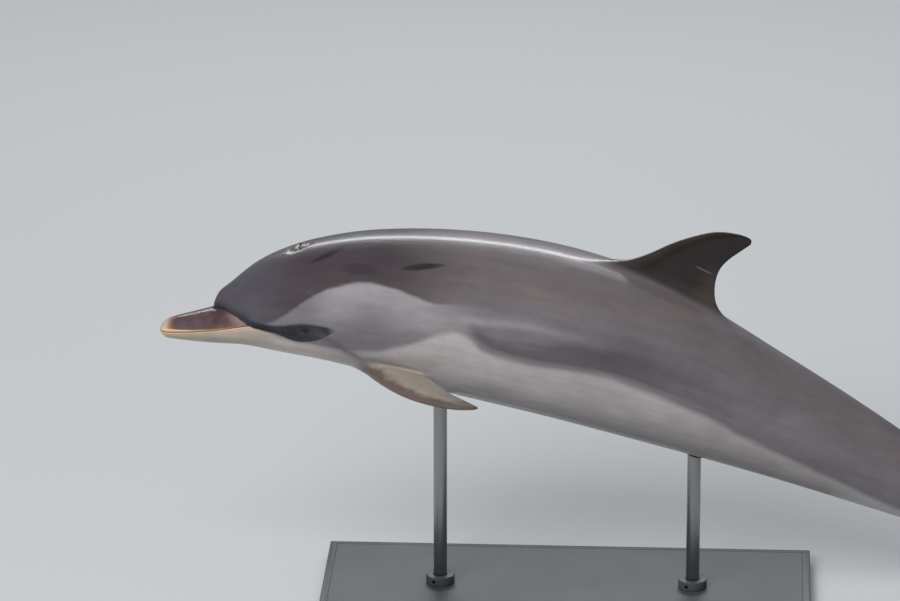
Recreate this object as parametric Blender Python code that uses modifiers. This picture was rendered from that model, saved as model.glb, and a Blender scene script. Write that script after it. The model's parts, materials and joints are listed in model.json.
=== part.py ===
"""Life-size bottlenose dolphin, arched as it breaks the surface, on a plain two-rod display stand.

Metres, +Z up. The dolphin swims towards -X, so its left side faces -Y. The origin is the centre of
the stand's underside, on the floor.

The body is drawn straight first: x from the snout tip to the notch of the flukes, y to the right
side, z to the back. It is one closed skin with the fins grown out of it. Thin cuts part it into
its named pieces, and pose() bends the pieces along the arched spine.
"""

import math

import bmesh
import bpy
import numpy as np
from mathutils import Vector

body_length = 2.30  # snout tip to the notch between the flukes
gap = 0.0003  # clearance between pieces that meet
columns = 36  # mesh lines along the body, evenly round it
full_width = 0.5  # a cut this wide passes right across the body

# Where the body is parted, along the straight body
crease_high, crease_low = 0.131, 0.212  # the forehead's crease, on top of the beak and at the mouth
mouth_corner = 0.295
head_end = 0.385
neck_end = 0.440
trunk_middle = 0.930
trunk_end = 1.500
flukes_from = 2.055

fin_levels = 8  # mesh levels along each fin
fairing_levels = 3  # and how many of them curve out of the body
fin_edge = 0.0012  # least half thickness of a fin
fin_cut = 0.024  # height over the body's surface at which a fin is parted from it
cut_thickness = 0.16  # size of that cut across the fin, well past both its faces
flipper_droop = math.radians(6)
sharp_from = math.radians(40)  # edges steeper than this are shaded sharp

eye_radius = 0.016
eye_x = 0.355
eye_turn = math.radians(-4.5)
eye_sides = 14
eye_sink = 0.0125  # depth of the eyeball's centre under the skin

base_length, base_width, base_height = 1.16, 0.50, 0.030
base_bevel = 0.004
rod_radius = 0.016
rod_places = (-0.30, 0.30)
rod_depth = 0.070  # how far a rod goes into the trunk
collar_radius, collar_height = 0.034, 0.022
round_sides = 28


# ---------------------------------------------------------------- smooth curves


def spline(*points):
    """A smooth curve through (place, value) points, as a function of place."""
    place, value = np.array(points, float).T
    step = np.diff(place)
    slope = np.diff(value) / step
    count = len(place)
    system = np.eye(count)
    right = np.zeros(count)
    for i in range(1, count - 1):
        system[i, i - 1 : i + 2] = step[i - 1], 2 * (step[i - 1] + step[i]), step[i]
        right[i] = 6 * (slope[i] - slope[i - 1])
    bend = np.linalg.solve(system, right)

    def at(p):
        p = np.clip(p, place[0], place[-1])
        i = np.clip(np.searchsorted(place, p) - 1, 0, count - 2)
        width, after = step[i], p - place[i]
        before = width - after
        cubic = (bend[i] * before**3 + bend[i + 1] * after**3) / (6 * width)
        start = (value[i] / width - bend[i] * width / 6) * before
        return cubic + start + (value[i + 1] / width - bend[i + 1] * width / 6) * after

    return at


def smooth_max(a, b, reach):
    """The larger of a and b, rounded off where they are within reach of each other."""
    near = np.maximum(reach - np.abs(a - b), 0)
    return np.maximum(a, b) + near**2 / (4 * reach)


# ---------------------------------------------------------------- the straight body

# Head and trunk: heights of the back and the belly, half the breadth, and the height it is widest at.
back = spline((0.10, 0.000), (0.122, 0.020), (0.142, 0.059), (0.173, 0.087), (0.234, 0.125),
              (0.30, 0.152), (0.40, 0.174), (0.55, 0.186), (0.70, 0.191), (0.85, 0.195), (1.10, 0.191),
              (1.38, 0.154), (1.60, 0.129), (1.84, 0.096), (2.06, 0.062), (2.20, 0.036), (2.30, 0.012))
belly = spline((0.10, -0.030), (0.20, -0.062), (0.34, -0.100), (0.50, -0.145), (0.70, -0.187),
               (0.88, -0.200), (1.14, -0.193), (1.38, -0.165), (1.60, -0.132), (1.84, -0.095),
               (2.06, -0.058), (2.20, -0.031), (2.30, -0.010))
breadth = spline((0.10, 0.004), (0.14, 0.018), (0.174, 0.0415), (0.198, 0.0565), (0.222, 0.070),
                 (0.27, 0.100), (0.34, 0.129), (0.50, 0.166), (0.70, 0.193), (0.88, 0.200),
                 (1.14, 0.183), (1.38, 0.144), (1.60, 0.099), (1.84, 0.060), (2.06, 0.035),
                 (2.20, 0.026), (2.30, 0.010))
widest = spline((0.0, -0.003), (0.15, -0.004), (0.34, 0.010), (0.60, 0.0), (1.15, -0.010),
                (1.70, 0.0), (2.30, 0.0))
roundness = spline((0.0, 2.1), (0.30, 2.1), (1.15, 2.0), (1.55, 1.75), (1.9, 1.55), (2.2, 1.7), (2.30, 2.0))

# Beak: both jaws together, out of the front of the head, and the height of the line between them.
beak_top = spline((0.0, 0.014), (0.035, 0.024), (0.065, 0.0285), (0.11, 0.034), (0.16, 0.040), (0.30, 0.040))
beak_bottom = spline((0.0, -0.020), (0.055, -0.033), (0.09, -0.041), (0.12, -0.047), (0.20, -0.060),
                     (0.30, -0.070))
beak_breadth = spline((0.0, 0.024), (0.04, 0.034), (0.10, 0.045), (0.16, 0.056), (0.22, 0.066),
                      (0.30, 0.070))
mouth_line = spline((0.0, -0.001), (0.06, -0.004), (0.11, -0.0045), (0.16, -0.002), (0.21, 0.002),
                    (0.25, 0.001), (0.295, -0.005))
beak_root = 0.30  # where the beak ends, inside the head
head_front = 0.10  # where the head starts, inside the beak
snout_round = 0.020  # length of the rounded end of the beak
tail_round = 0.030  # and of the body between the flukes
crease_round = 0.006  # how softly the forehead meets the beak


def end_cap(x):
    """0 at either tip of the body, rising to 1 along a quarter ellipse."""
    front = np.clip(x / snout_round, 0, 1)
    rear = np.clip((body_length - x) / tail_round, 0, 1)
    return np.sqrt(1 - (1 - front) ** 2) * np.sqrt(1 - (1 - rear) ** 2)


def body_point(x, turn):
    """A point of the skin at x, turned round the axis from the right side up to the back."""
    x, turn = np.broadcast_arrays(np.asarray(x, float), np.asarray(turn, float))
    across, up = np.cos(turn), np.sin(turn)
    centre = widest(x)
    power = roundness(x)
    head_height = np.maximum(np.where(up > 0, back(x) - centre, centre - belly(x)), 0.001)
    head = (np.abs(across / breadth(x)) ** power + np.abs(up / head_height) ** power) ** (-1 / power)
    beak_height = np.where(up > 0, beak_top(x) - centre, centre - beak_bottom(x))
    beak = ((across / beak_breadth(x)) ** 2 + (up / beak_height) ** 2) ** -0.5
    reach = smooth_max(head * (x > head_front), beak * (x < beak_root), crease_round) * end_cap(x)
    return np.stack([x, reach * across, centre + reach * up], -1)


# ---------------------------------------------------------------- the pose

# How steeply the spine falls towards the tail, in degrees, along the straight body.
spine_fall = spline((0.0, -7.5), (0.35, -6.5), (0.50, -2.0), (0.75, 7.0), (1.0, 16.5), (1.20, 22.5),
                    (1.45, 25.5), (1.70, 26.5), (2.0, 25.5), (2.30, 21.0))
snout_place = Vector((-0.96, 0, 0.66))
spine_x = np.linspace(0, body_length, 481)
spine_angle = np.radians(spine_fall(spine_x))


def running_sum(values):
    middle = (values[1:] + values[:-1]) / 2
    return np.concatenate([[0], np.cumsum(middle * np.diff(spine_x))])


spine_along = running_sum(np.cos(spine_angle))
spine_drop = running_sum(np.sin(spine_angle))


def pose(points):
    """Points of the straight body, bent along the arched spine and set over the stand."""
    points = np.asarray(points, float)
    inside = np.clip(points[..., 0], 0, body_length)
    past = points[..., 0] - inside
    angle = np.interp(inside, spine_x, spine_angle)
    along = np.interp(inside, spine_x, spine_along) + past * np.cos(angle) + points[..., 2] * np.sin(angle)
    drop = np.interp(inside, spine_x, spine_drop) + past * np.sin(angle) - points[..., 2] * np.cos(angle)
    return np.stack([snout_place.x + along, points[..., 1], snout_place.z - drop], -1)


def posed_way(point, way):
    """A direction of the straight body at a point, after the bend."""
    step = 0.001
    return unit(pose(point + way * step) - pose(point))


# ---------------------------------------------------------------- the fins


class Fin:
    """A fin, pulled out of a patch of the body.

    Its flat frame starts at the front of its root: chord runs to the rear of the root, span out from
    the body, and thick across both. lead and trail run along its edges in that frame, from the root
    at share 0 to the tip at share 1.
    """

    def __init__(self, patch_x, patch_turn, root, span_way, lead, trail, thickness, fairing):
        self.patch_x = patch_x
        self.patch_turn = patch_turn
        self.root = np.array(root[0], float)
        self.chord_way = unit(np.array(root[1]) - self.root)
        self.span_way = square_to(self.chord_way, span_way)
        self.thick_way = np.cross(self.chord_way, self.span_way)
        self.lead, self.trail, self.thickness = lead, trail, thickness
        self.fairing = fairing

    def outline(self, share, turn):
        """A point round the section at a share of the span, from the front edge at turn 0."""
        along = (1 - math.cos(turn)) / 2
        chord, span = self.lead(share) + (self.trail(share) - self.lead(share)) * along
        half = self.thickness(share) * leaf(along) + fin_edge * abs(math.sin(turn)) ** 0.5
        thick = math.copysign(half, math.sin(turn))
        return self.root + chord * self.chord_way + span * self.span_way + thick * self.thick_way

    def point(self, level, turn, base):
        """A point of the fin's mesh. The lowest levels curve out of the body from the patch's edge."""
        if level >= fairing_levels:
            reached = (level - fairing_levels) / (fin_levels - fairing_levels)
            return self.outline(self.fairing + (1 - self.fairing) * math.sin(reached * math.pi / 2), turn)
        share = level / fairing_levels
        corner = self.outline(0, turn)
        top = self.outline(self.fairing, turn)
        return (1 - share) ** 2 * base + 2 * share * (1 - share) * corner + share**2 * top

    def cutter(self, name):
        """The thin slab that parts the posed fin from the body, along the body's surface."""
        turn = sum(self.patch_turn) / 2
        out = square_to(self.chord_way, (0, math.cos(turn), math.sin(turn)))
        root_length = self.trail(0)[0]
        middle = self.root + self.chord_way * root_length * 0.75 + out * fin_cut
        ways = [posed_way(middle, way) for way in (self.chord_way, np.cross(out, self.chord_way), out)]
        return slab(name, pose(middle), ways, (root_length * 2.2, cut_thickness, gap))

    def mirrored(self):
        """The same fin on the left side."""
        flip = np.array([1, -1, 1])
        low, high = self.patch_turn
        root = self.root * flip
        rear = root + self.chord_way * flip
        turns = (math.pi - high, math.pi - low)
        return Fin(self.patch_x, turns, (root, rear), self.span_way * flip, self.lead, self.trail,
                   self.thickness, self.fairing)


def leaf(along):
    """Half thickness of a wing's section, blunt in front and thin behind, for a thickness of 1."""
    curve = -0.63 + along * (-1.758 + along * (1.4215 - 0.518 * along))
    return 1.4845 * math.sqrt(along) + along * curve


def edge(*points):
    """A fin's edge through (share, chord, span) points."""
    chord = spline(*((share, along) for share, along, _ in points))
    span = spline(*((share, out) for share, _, out in points))
    return lambda share: np.array([chord(share), span(share)])


def dorsal_fin():
    """Tall and hooked, with a hollow rear edge."""
    front, rear = 0.985, 1.27
    return Fin(
        patch_x=(0.945, 1.315),
        patch_turn=(math.radians(80), math.radians(100)),
        root=((front, 0, back(front)), (rear, 0, back(rear))),
        span_way=(0, 0, 1),
        lead=edge((0, 0.030, 0), (0.25, 0.082, 0.050), (0.5, 0.118, 0.100), (0.75, 0.162, 0.152),
                  (0.92, 0.214, 0.190), (1, 0.254, 0.2030)),
        trail=edge((0, 0.286, 0), (0.25, 0.252, 0.046), (0.5, 0.237, 0.100), (0.75, 0.249, 0.148),
                   (0.92, 0.262, 0.179), (1, 0.268, 0.194)),
        thickness=spline((0, 0.036), (0.5, 0.023), (0.9, 0.009), (1, 0.003)),
        fairing=0.16,
    )


def right_flipper():
    """Swept back, broad at the root and bluntly pointed, held out and a little down."""
    front = body_point(0.478, math.radians(-53))
    rear = body_point(0.634, math.radians(-34.5))
    return Fin(
        patch_x=(0.448, 0.672),
        patch_turn=(math.radians(-60), math.radians(-30)),
        root=(front, rear),
        span_way=(0, math.cos(flipper_droop), -math.sin(flipper_droop)),
        lead=edge((0, 0, 0), (0.25, 0.060, 0.050), (0.5, 0.148, 0.105), (0.75, 0.250, 0.135),
                  (0.93, 0.336, 0.128), (1, 0.366, 0.112)),
        trail=edge((0, 0.160, 0), (0.25, 0.200, 0.018), (0.5, 0.238, 0.047), (0.75, 0.291, 0.074),
                   (0.93, 0.346, 0.095), (1, 0.370, 0.104)),
        thickness=spline((0, 0.036), (0.4, 0.024), (0.9, 0.010), (1, 0.004)),
        fairing=0.14,
    )


def right_fluke():
    """One half of the tail's flat blade, hollow behind and rounded beside the notch."""
    front, half_stock = 2.085, 0.024
    return Fin(
        patch_x=(2.062, 2.278),
        patch_turn=(math.radians(-30), math.radians(30)),
        root=((front, half_stock, 0), (front + 0.2, half_stock, 0)),
        span_way=(0, 1, 0),
        lead=edge((0, 0.012, 0), (0.25, 0.048, 0.067), (0.5, 0.102, 0.134), (0.75, 0.172, 0.201),
                  (0.92, 0.228, 0.248), (1, 0.258, 0.268)),
        trail=edge((0, 0.212, 0), (0.15, 0.231, 0.035), (0.35, 0.234, 0.085), (0.6, 0.237, 0.150),
                   (0.85, 0.251, 0.220), (1, 0.268, 0.266)),
        thickness=spline((0, 0.030), (0.4, 0.019), (0.9, 0.008), (1, 0.003)),
        fairing=0.11,
    )


# ---------------------------------------------------------------- the mesh


def unit(way):
    return way / np.linalg.norm(way)


def square_to(axis, way):
    """The part of a direction that is square to an axis, at unit length."""
    way = np.array(way, float)
    return unit(way - axis * (way @ axis))


def ring_places():
    """Places of the mesh rings along the body, closer together where the shape is finer."""
    spacing = spline((0, 0.0028), (0.008, 0.006), (0.03, 0.014), (0.10, 0.016), (0.30, 0.022),
                     (0.45, 0.036), (0.7, 0.062), (0.95, 0.048), (1.3, 0.052), (1.6, 0.084),
                     (1.95, 0.052), (2.10, 0.034), (2.26, 0.016), (2.30, 0.005))
    places = [0.0]
    while places[-1] < body_length:
        places.append(places[-1] + float(spacing(places[-1])))
    return np.array(places) * body_length / places[-1]


def patch_edge(ring, column, rings, width):
    """How far round a patch's edge a grid point lies, from 0 at the middle of its front to 1."""
    if column == width:
        steps = width / 2 + ring
    elif ring == rings:
        steps = width * 1.5 + rings - column
    elif column == 0:
        steps = width * 1.5 + rings * 2 - ring
    else:
        steps = column - width / 2
    return steps / (2 * (rings + width)) % 1


def grow_fin(mesh, fin, places):
    """Extrudes the fin's patch level by level, and closes its tip with one face."""
    ring_layer = mesh.verts.layers.int["ring"]
    column_layer = mesh.verts.layers.int["column"]
    first, last = (int(np.argmin(abs(places - x))) for x in fin.patch_x)
    low, high = (round(turn / math.tau * columns) for turn in fin.patch_turn)

    def spot(vert):
        return vert[ring_layer] - first, (vert[column_layer] - low) % columns

    def inside(vert):
        ring, column = spot(vert)
        return 0 <= ring <= last - first and column <= high - low

    faces = [face for face in mesh.faces if all(inside(vert) for vert in face.verts)]
    base = {spot(vert): np.array(vert.co) for face in faces for vert in face.verts}
    for level in range(1, fin_levels + 1):
        grown = bmesh.ops.extrude_face_region(mesh, geom=faces)["geom"]
        bmesh.ops.delete(mesh, geom=[face for face in faces if face.is_valid], context="FACES")
        faces = [item for item in grown if isinstance(item, bmesh.types.BMFace)]
        for vert in {vert for face in faces for vert in face.verts}:
            turn = math.tau * patch_edge(*spot(vert), last - first, high - low)
            vert.co = fin.point(level, turn, base[spot(vert)])
    bmesh.ops.dissolve_faces(mesh, faces=faces, use_verts=True)


def whole_body(fins):
    """The straight body with its fins, as one closed skin on a sphere's grid."""
    places = ring_places()
    mesh = bmesh.new()
    bmesh.ops.create_uvsphere(mesh, u_segments=columns, v_segments=len(places) - 1, radius=1)
    ring_layer = mesh.verts.layers.int.new("ring")
    column_layer = mesh.verts.layers.int.new("column")
    for vert in mesh.verts:
        polar = math.acos(max(-1, min(1, -vert.co.z)))
        vert[ring_layer] = round(polar / math.pi * (len(places) - 1))
        vert[column_layer] = round(math.atan2(vert.co.y, vert.co.x) / math.tau * columns) % columns
        vert.co = body_point(places[vert[ring_layer]], math.tau * vert[column_layer] / columns)
    for fin in fins:
        grow_fin(mesh, fin, places)
    return mesh_object("body", mesh, helpers)


# ---------------------------------------------------------------- objects and cutters


def mesh_object(name, mesh, collection):
    """Makes an object of a bmesh, which it frees."""
    data = bpy.data.meshes.new(name)
    mesh.to_mesh(data)
    mesh.free()
    made = bpy.data.objects.new(name, data)
    collection.objects.link(made)
    return made


def slab(name, middle, ways, sizes):
    """A box with its sides along three square, right-handed directions."""
    mesh = bmesh.new()
    bmesh.ops.create_cube(mesh, size=1)
    for vert in mesh.verts:
        vert.co = middle + sum(way * size * share for way, size, share in zip(ways, sizes, vert.co))
    return mesh_object(name, mesh, helpers)


def ribbon(name, line, width):
    """A thin band along a line of (x, z) points, running right across the body."""
    line = np.array(line)
    way = np.gradient(line, axis=0)
    way = way / np.linalg.norm(way, axis=1)[:, None]
    side = np.stack([-way[:, 1], way[:, 0]], -1) * gap / 2
    loop = np.concatenate([line + side, (line - side)[::-1]])
    mesh = bmesh.new()
    face = mesh.faces.new([mesh.verts.new((x, -width / 2, z)) for x, z in loop])
    grown = bmesh.ops.extrude_face_region(mesh, geom=[face], use_keep_orig=True)["geom"]
    moved = [item for item in grown if isinstance(item, bmesh.types.BMVert)]
    bmesh.ops.translate(mesh, verts=moved, vec=(0, width, 0))
    bmesh.ops.recalc_face_normals(mesh, faces=mesh.faces)
    return mesh_object(name, mesh, helpers)


def ball(name, centre, radius, segments, collection):
    mesh = bmesh.new()
    bmesh.ops.create_uvsphere(mesh, u_segments=segments, v_segments=segments // 2, radius=radius)
    bmesh.ops.translate(mesh, verts=mesh.verts, vec=centre)
    return mesh_object(name, mesh, collection)


def rod(name, place, bottom, top, radius, segments, collection):
    mesh = bmesh.new()
    bmesh.ops.create_cone(mesh, cap_ends=True, segments=segments, radius1=radius, radius2=radius,
                          depth=top - bottom)
    bmesh.ops.translate(mesh, verts=mesh.verts, vec=(place, 0, (top + bottom) / 2))
    return mesh_object(name, mesh, collection)


def cut(target, cutter):
    """Subtracts a cutter for good."""
    change = target.modifiers.new(cutter.name, "BOOLEAN")
    change.object = cutter
    change.operation = "DIFFERENCE"
    change.solver = "EXACT"
    bpy.context.view_layer.update()
    graph = bpy.context.evaluated_depsgraph_get()
    result = bpy.data.meshes.new_from_object(target.evaluated_get(graph))
    target.modifiers.clear()
    target.data = result


def jaw_cut():
    """Along the mouth to its corner, then down behind the jaw."""
    mouth = [(x, float(mouth_line(x))) for x in np.linspace(-0.02, mouth_corner, 22)]
    throat = [(mouth_corner + 0.006, -0.011), (mouth_corner + 0.03, -0.17)]
    return ribbon("cut_jaw", mouth + throat, full_width)


def beak_cut():
    """From the mouth up the crease where the forehead meets the beak."""
    low = (crease_low, float(mouth_line(crease_low)))
    return ribbon("cut_beak", [low, (crease_high, 0.040), (crease_high - 0.04, 0.0588)], full_width)


def islands(mesh):
    """The separate shells of a bmesh, as lists of faces."""
    left = set(mesh.faces)
    while left:
        shell = []
        fresh = [left.pop()]
        while fresh:
            face = fresh.pop()
            shell.append(face)
            near = {other for side in face.edges for other in side.link_faces} & left
            left -= near
            fresh.extend(near)
        yield shell


def part(pieces, whole, cutter, way, near, far):
    """Cuts a piece in two, and names the halves by which lies nearer along way."""
    body = pieces.pop(whole)
    cut(body, cutter)
    source = bmesh.new()
    source.from_mesh(body.data)
    halves = []
    for shell in islands(source):
        verts = list({vert: None for face in shell for vert in face.verts})
        mesh = bmesh.new()
        copies = {vert: mesh.verts.new(vert.co) for vert in verts}
        for face in shell:
            mesh.faces.new([copies[vert] for vert in face.verts])
        halves.append((max(Vector(way) @ vert.co for vert in verts), mesh))
    source.free()
    bpy.data.objects.remove(body)
    for name, (_, mesh) in zip((near, far), sorted(halves, key=lambda half: half[0])):
        pieces[name] = mesh_object(name, mesh, dolphin)


def part_flat(pieces, whole, place, way, near, far):
    """Parts a piece along a plane square to way, whose middle is at place."""
    body = pieces.pop(whole)
    for name, side in ((near, -1), (far, 1)):
        mesh = bmesh.new()
        mesh.from_mesh(body.data)
        everything = mesh.verts[:] + mesh.edges[:] + mesh.faces[:]
        middle = Vector(place) + Vector(way) * side * gap / 2
        sliced = bmesh.ops.bisect_plane(mesh, geom=everything, plane_co=middle, plane_no=way, dist=1e-6,
                                        clear_outer=side < 0, clear_inner=side > 0)["geom_cut"]
        rim = [item for item in sliced if isinstance(item, bmesh.types.BMEdge)]
        bmesh.ops.contextual_create(mesh, geom=rim)
        bmesh.ops.recalc_face_normals(mesh, faces=mesh.faces)
        pieces[name] = mesh_object(name, mesh, dolphin)
    bpy.data.objects.remove(body)


def bend(piece):
    """Poses a straight piece."""
    points = np.array([vert.co for vert in piece.data.vertices])
    piece.data.vertices.foreach_set("co", pose(points).astype(np.float32).ravel())


def shade(piece):
    """Smooth, but for the edges of flat and cut faces."""
    piece.data.shade_smooth()
    piece.data.set_sharp_from_angle(angle=sharp_from)


def material(name, colour, roughness, metallic):
    made = bpy.data.materials.new(name)
    made.use_nodes = True
    surface = made.node_tree.nodes["Principled BSDF"]
    surface.inputs["Base Color"].default_value = (*colour, 1)
    surface.inputs["Roughness"].default_value = roughness
    surface.inputs["Metallic"].default_value = metallic
    return made


def finish(name):
    """Colour, roughness and metal share of a piece."""
    if name.startswith("eye"):
        return (0.01, 0.01, 0.012), 0.08, 0.0
    if name.startswith("stand_rod"):
        return (0.6, 0.6, 0.6), 0.3, 1.0
    if name.startswith("stand"):
        return (0.03, 0.03, 0.033), 0.5, 0.0
    if name in ("dorsal_fin", "fluke_left", "fluke_right"):
        return (0.05, 0.05, 0.055), 0.35, 0.0
    if name == "jaw_lower":
        return (0.42, 0.38, 0.36), 0.35, 0.0
    return (0.16, 0.16, 0.18), 0.35, 0.0


# ---------------------------------------------------------------- the stand


def belly_height(x):
    """Height of the posed belly's mid-line over the floor at x."""
    line = pose(body_point(np.linspace(0.3, 2.0, 400), math.radians(-90)))
    return float(np.interp(x, line[:, 0], line[:, 2]))


def stand_base():
    sizes = (base_length, base_width, base_height)
    made = slab("stand_base", np.array([0, 0, base_height / 2]), np.eye(3), sizes)
    helpers.objects.unlink(made)
    dolphin.objects.link(made)
    rounded = made.modifiers.new("rounded", "BEVEL")
    rounded.width = base_bevel
    rounded.segments = 2
    return made


def stand_rod(end, place, trunk):
    """A rod from the base into a blind hole in the trunk, with a collar round its foot."""
    foot = base_height + gap
    top = belly_height(place) + rod_depth
    collar_top = foot + collar_height
    post = rod(f"stand_rod_{end}", place, foot, top, rod_radius, round_sides, dolphin)
    collar = rod(f"stand_collar_{end}", place, foot, collar_top, collar_radius, round_sides, dolphin)
    hole = rod(f"hole_{end}", place, 0, top + gap, rod_radius + gap, round_sides, helpers)
    cut(trunk, hole)
    cut(collar, hole)
    return [post, collar]


# ---------------------------------------------------------------- the whole model


def flesh_pieces(fins):
    """The straight body, parted into lengths, jaws and flukes."""
    pieces = {"body": whole_body(fins)}
    along, across, upward = (1, 0, 0), (0, 1, 0), (0, 0, 1)
    part_flat(pieces, "body", (flukes_from, 0, 0), along, "body", "flukes")
    part_flat(pieces, "flukes", (flukes_from, 0, 0), across, "fluke_left", "fluke_right")
    part_flat(pieces, "body", (trunk_end, 0, 0), along, "body", "tail_stock")
    part_flat(pieces, "body", (trunk_middle, 0, 0), along, "body", "trunk_rear")
    part_flat(pieces, "body", (neck_end, 0, 0), along, "body", "trunk_front")
    part_flat(pieces, "body", (head_end, 0, 0), along, "body", "neck")
    part(pieces, "body", jaw_cut(), upward, "jaw_lower", "body")
    part(pieces, "body", beak_cut(), along, "beak_upper", "head")
    return pieces


def free_fins(pieces, dorsal, flippers):
    """Parts the fins from the posed trunk."""
    part(pieces, "trunk_rear", dorsal.cutter("cut_dorsal"), (0, 0, 1), "trunk_rear", "dorsal_fin")
    for side, y, fin in zip(("right", "left"), (1, -1), flippers):
        cutter = fin.cutter(f"cut_{side}")
        part(pieces, "trunk_front", cutter, (0, y, 0), "trunk_front", f"flipper_{side}")


def eye(side, turn, head):
    """An eyeball in a socket of the posed head."""
    skin = body_point(eye_x, turn)
    inward = unit(body_point(eye_x, turn + math.pi) - skin)
    centre = pose(skin + inward * eye_sink)
    cut(head, ball(f"socket_{side}", centre, eye_radius + gap, eye_sides, helpers))
    return ball(f"eye_{side}", centre, eye_radius, eye_sides, dolphin)


def main():
    flippers = [right_flipper(), right_flipper().mirrored()]
    flukes = [right_fluke(), right_fluke().mirrored()]
    pieces = flesh_pieces([dorsal_fin(), *flippers, *flukes])
    for piece in pieces.values():
        bend(piece)
    eyes = [eye("right", eye_turn, pieces["head"]), eye("left", math.pi - eye_turn, pieces["head"])]
    free_fins(pieces, dorsal_fin(), flippers)
    stand = [stand_base()]
    stand += stand_rod("front", rod_places[0], pieces["trunk_front"])
    stand += stand_rod("rear", rod_places[1], pieces["trunk_rear"])
    for piece in [*pieces.values(), *eyes, *stand]:
        shade(piece)
        piece.data.materials.append(material(piece.name, *finish(piece.name)))


for thing in list(bpy.data.objects):
    bpy.data.objects.remove(thing)
dolphin = bpy.data.collections.new("bottlenose dolphin")
helpers = bpy.data.collections.new("cutters")
for group in (dolphin, helpers):
    bpy.context.scene.collection.children.link(group)
main()
for helper in helpers.objects:
    helper.hide_render = True
    helper.display_type = "WIRE"
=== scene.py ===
import json
from contextlib import contextmanager
from math import cos, pi, radians, sin, sqrt, tau

import bmesh
import bpy
import numpy as np
from mathutils import Matrix, Vector

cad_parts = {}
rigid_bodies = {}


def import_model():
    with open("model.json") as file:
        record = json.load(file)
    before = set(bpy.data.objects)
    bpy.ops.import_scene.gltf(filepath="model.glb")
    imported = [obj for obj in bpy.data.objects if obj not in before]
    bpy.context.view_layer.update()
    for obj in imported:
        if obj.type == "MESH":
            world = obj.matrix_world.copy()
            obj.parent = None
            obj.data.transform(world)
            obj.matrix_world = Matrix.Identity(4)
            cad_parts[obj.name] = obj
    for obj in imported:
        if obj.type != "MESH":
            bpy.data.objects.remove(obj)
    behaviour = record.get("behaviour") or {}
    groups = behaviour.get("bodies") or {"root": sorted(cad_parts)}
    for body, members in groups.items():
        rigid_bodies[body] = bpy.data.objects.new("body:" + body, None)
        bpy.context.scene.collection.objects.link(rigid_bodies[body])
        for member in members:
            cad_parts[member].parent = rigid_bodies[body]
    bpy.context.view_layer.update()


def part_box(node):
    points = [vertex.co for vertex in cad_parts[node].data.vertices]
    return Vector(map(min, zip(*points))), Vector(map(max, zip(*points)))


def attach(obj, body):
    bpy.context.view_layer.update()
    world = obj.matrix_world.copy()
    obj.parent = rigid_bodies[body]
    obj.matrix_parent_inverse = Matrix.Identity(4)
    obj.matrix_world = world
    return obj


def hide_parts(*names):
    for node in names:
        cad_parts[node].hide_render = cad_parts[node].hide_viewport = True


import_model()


# Smooth curves

def spline(*points):
    # a natural cubic through (place, value) points, as a function of place
    place, value = np.array(points, float).T
    step = np.diff(place)
    slope = np.diff(value) / step
    last = len(step)
    system, right = np.eye(last + 1), np.zeros(last + 1)
    for i in range(1, last):
        system[i, i - 1 : i + 2] = step[i - 1], 2 * (step[i - 1] + step[i]), step[i]
        right[i] = 6 * (slope[i] - slope[i - 1])
    bend = np.linalg.solve(system, right)

    def at(p):
        p = np.clip(p, place[0], place[-1])
        i = np.clip(np.searchsorted(place, p) - 1, 0, last - 1)
        past, twist = p - place[i], (bend[i + 1] - bend[i]) / (6 * step[i])
        tilt = slope[i] - step[i] * (2 * bend[i] + bend[i + 1]) / 6
        return value[i] + past * (tilt + past * (bend[i] / 2 + past * twist))

    return at


def mm(*points):
    return spline(*(np.array(points) / 1000))


def smoothMax(a, b, reach):
    near = np.maximum(reach - np.abs(a - b), 0)
    return np.maximum(a, b) + near**2 / (4 * reach)


def fade(value, low, high):
    # 0 below low, 1 above high, eased between them; low may be the larger one
    share = np.clip((value - low) / (high - low), 0, 1)
    return share * share * (3 - 2 * share)


def bump(value, width):
    return np.exp(-((value / width) ** 2))


# The straight body: x from the snout, y to its right, z to its back; mm() curves are the solids' own

body = dict(
    length=2.3,  # snout tip to the notch of the flukes
    back=mm((100, 0), (122, 20), (142, 59), (173, 87), (234, 125), (300, 152), (400, 174), (550, 186),
        (700, 191), (850, 195), (1100, 191), (1380, 154), (1600, 129), (1840, 96), (2060, 62), (2200, 36),
        (2300, 12)),
    belly=mm((100, -30), (200, -62), (340, -100), (500, -145), (700, -187), (880, -200), (1140, -193),
        (1380, -165), (1600, -132), (1840, -95), (2060, -58), (2200, -31), (2300, -10)),
    breadth=mm((100, 4), (140, 18), (174, 41.5), (198, 56.5), (222, 70), (270, 100), (340, 129), (500, 166),
        (700, 193), (880, 200), (1140, 183), (1380, 144), (1600, 99), (1840, 60), (2060, 35), (2200, 26),
        (2300, 10)),
    widest=mm((0, -3), (150, -4), (340, 10), (600, 0), (1150, -10), (1700, 0), (2300, 0)),
    roundness=spline((0, 2.1), (0.3, 2.1), (1.15, 2), (1.55, 1.75), (1.9, 1.55), (2.2, 1.7), (2.3, 2)),
    beakTop=mm((0, 14), (35, 24), (65, 28.5), (110, 34), (160, 40), (300, 40)),
    beakBottom=mm((0, -20), (55, -33), (90, -41), (120, -47), (200, -60), (300, -70)),
    beakBreadth=mm((0, 24), (40, 34), (100, 45), (160, 56), (220, 66), (300, 70)),
    mouthLine=mm((0, -1), (60, -4), (110, -4.5), (160, -2), (210, 2), (250, 1), (295, -5)),
    headFront=0.1, beakRoot=0.3, creaseRound=0.006, snoutRound=0.02, tailRound=0.03,
)


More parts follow.
